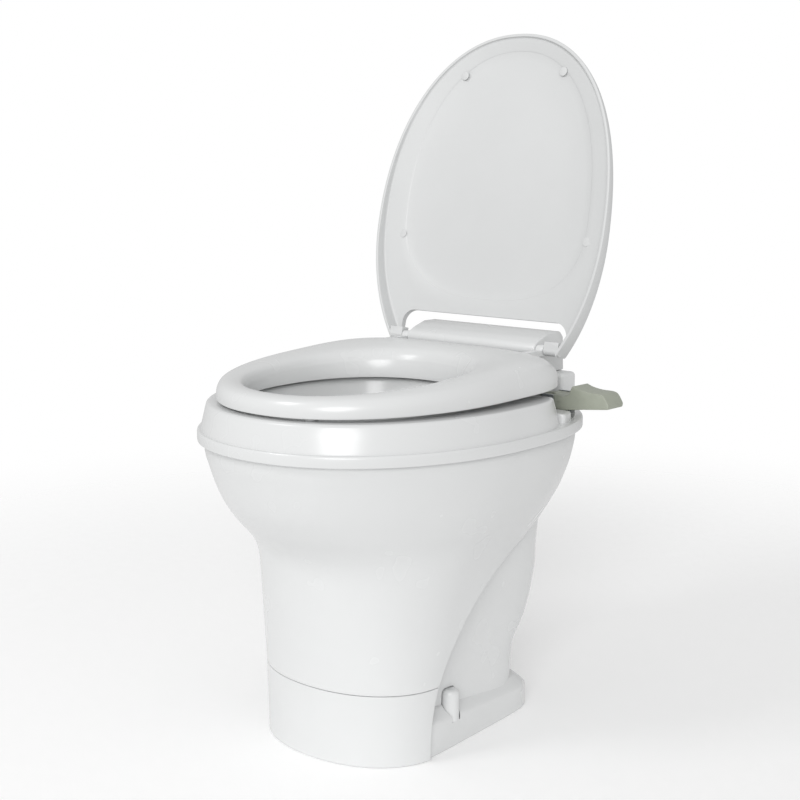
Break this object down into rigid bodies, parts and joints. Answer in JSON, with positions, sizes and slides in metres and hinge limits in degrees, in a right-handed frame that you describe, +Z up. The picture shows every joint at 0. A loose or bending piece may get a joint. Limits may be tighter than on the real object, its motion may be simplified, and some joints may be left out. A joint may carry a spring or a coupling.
{
  "type": "gravity-flush toilet",
  "caption": "Floor-fixed plastic toilet with hinged seat and lid, a hand lever that opens a rotating half-ball waste valve and a water valve, and a separate base cover.",
  "frame": {"origin": "on the floor, in the symmetry plane, 8 mm inside the rear edge of the foot", "axes": "+Z up, the front of the toilet towards -Y, the hand lever on the +X side"},
  "size_m": [0.412, 0.4852, 0.8241],
  "materials": {
    "white_plastic": "white moulded plastic, glossy",
    "lever_plastic": "grey-green moulded plastic, satin",
    "dark_plastic": "dark moulded plastic",
    "acetal": "natural acetal",
    "rubber": "black rubber",
    "hose": "grey flexible hose",
    "steel": "zinc plated steel",
    "brass": "machined brass"
  },
  "bodies": {
    "base": {"pedestal": "white_plastic", "base_cover": "white_plastic", "bowl": "white_plastic", "hinge_cover": "white_plastic", "bolt_cap_right": "white_plastic", "bolt_cap_left": "white_plastic", "valve_housing": "dark_plastic", "housing_front_plate": "dark_plastic", "drain_pipe": "dark_plastic", "water_valve": "dark_plastic", "vacuum_breaker": "dark_plastic", "bush_front": "acetal", "bush_rear": "acetal", "bowl_nozzle": "acetal", "hinge_nut_right": "acetal", "hinge_nut_left": "acetal", "ball_seal": "rubber", "outlet_gasket": "rubber", "floor_seal": "rubber", "supply_hose": "hose", "rinse_hose": "hose", "return_spring": "steel", "lever_bracket": "steel", "lever_pin": "steel", "hinge_pin_right": "steel", "hinge_pin_left": "steel", "hinge_bolt_right": "steel", "hinge_bolt_left": "steel", "housing_screw_1": "steel", "housing_screw_2": "steel", "housing_screw_3": "steel", "housing_screw_4": "steel", "floor_bolt_side_right": "steel", "floor_bolt_side_left": "steel", "floor_bolt_front_right": "steel", "floor_bolt_front_left": "steel", "floor_washer_side_right": "steel", "floor_washer_side_left": "steel", "floor_washer_front_right": "steel", "floor_washer_front_left": "steel", "inlet_nipple": "brass"},
    "seat": {"seat": "white_plastic", "seat_bumper_front_right": "rubber", "seat_bumper_front_left": "rubber", "seat_bumper_rear_right": "rubber", "seat_bumper_rear_left": "rubber"},
    "lid": {"lid": "white_plastic", "lid_bumper_front_right": "rubber", "lid_bumper_front_left": "rubber", "lid_bumper_rear_right": "rubber", "lid_bumper_rear_left": "rubber"},
    "lever": {"hand_lever": "lever_plastic"},
    "rod": {"link_rod": "acetal"},
    "shaft": {"drive_shaft": "steel", "pivot_stub": "steel", "flush_ball": "acetal", "valve_cam": "acetal", "crank": "steel"},
    "plunger": {"valve_plunger": "brass"}
  },
  "joints": [
    {"name": "lid_hinge", "type": "hinge", "parent": "base", "child": "lid", "pos_m": [0, 0, 0.445], "axis": [-1, 0, 0], "range_deg": [-102.5, 0]},
    {"name": "seat_hinge", "type": "hinge", "parent": "base", "child": "seat", "pos_m": [0, 0, 0.445], "axis": [-1, 0, 0], "range_deg": [0, 95]},
    {"name": "lever_pivot", "type": "hinge", "parent": "base", "child": "lever", "pos_m": [0.135, -0.01, 0.391], "axis": [0, 1, 0], "range_deg": [0, 11.97], "stiffness_Nm_per_rad": 4, "springref_deg": -6.88},
    {"name": "rod_slide", "type": "slide", "parent": "base", "child": "rod", "axis": [0, 0, 1], "range_m": [0, 0.0252]},
    {"name": "ball_shaft", "type": "hinge", "parent": "base", "child": "shaft", "pos_m": [0, -0.16, 0.14], "axis": [0, -1, 0], "range_deg": [0, 90.5]},
    {"name": "valve_plunger_slide", "type": "slide", "parent": "base", "child": "plunger", "axis": [-1, 0, 0], "range_m": [0, 0.0051]}
  ],
  "couplings": [
    {"joint": "rod_slide", "follows": "lever_pivot", "m_per_rad": 0.11978},
    {"joint": "ball_shaft", "follows": "lever_pivot", "ratio": 7.5165},
    {"joint": "valve_plunger_slide", "follows": "lever_pivot", "m_per_rad": 0.023926}
  ]
}
